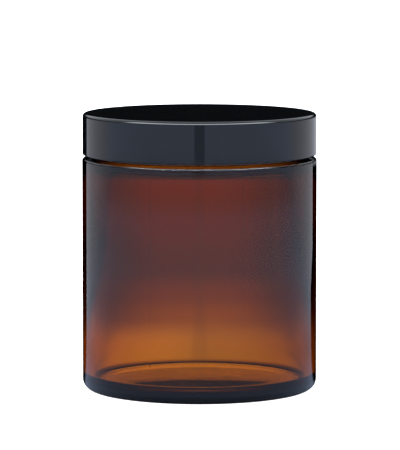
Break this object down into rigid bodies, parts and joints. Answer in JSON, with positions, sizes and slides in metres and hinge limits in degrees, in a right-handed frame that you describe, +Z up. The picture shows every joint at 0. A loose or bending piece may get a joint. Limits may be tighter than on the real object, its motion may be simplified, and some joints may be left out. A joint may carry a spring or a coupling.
{
  "type": "cosmetic cream jar",
  "caption": "Straight-sided amber glass cream jar with a smooth glossy black screw lid and a foam sealing wad; the lid unscrews and lifts off.",
  "frame": {"origin": "centre of the circle that the jar stands on, at the level of that circle", "axes": "+Z up along the jar's axis, towards the lid; +X and +Y are level, and the jar is round about +Z"},
  "size_m": [0.06, 0.06, 0.071],
  "materials": {
    "amber_glass": "clear, glossy, brown",
    "black_plastic": "glossy",
    "white_foam": "matt, fine closed cells",
    "grey_film": "smooth film"
  },
  "bodies": {
    "jar": {"glass_jar": "amber_glass"},
    "wad": {"wad_core": "white_foam", "wad_facing": "grey_film"},
    "lid": {"screw_lid": "black_plastic"}
  },
  "joints": [
    {"name": "lid_lift", "type": "slide", "parent": "jar", "child": "wad", "axis": [0, 0, 1], "range_m": [0, 0.0127]},
    {"name": "lid_turn", "type": "hinge", "parent": "wad", "child": "lid", "pos_m": [0, 0, 0.066], "axis": [0, 0, 1], "range_deg": [0, 1080]}
  ],
  "couplings": [
    {"joint": "lid_lift", "follows": "lid_turn", "m_per_rad": 0.00067375}
  ]
}
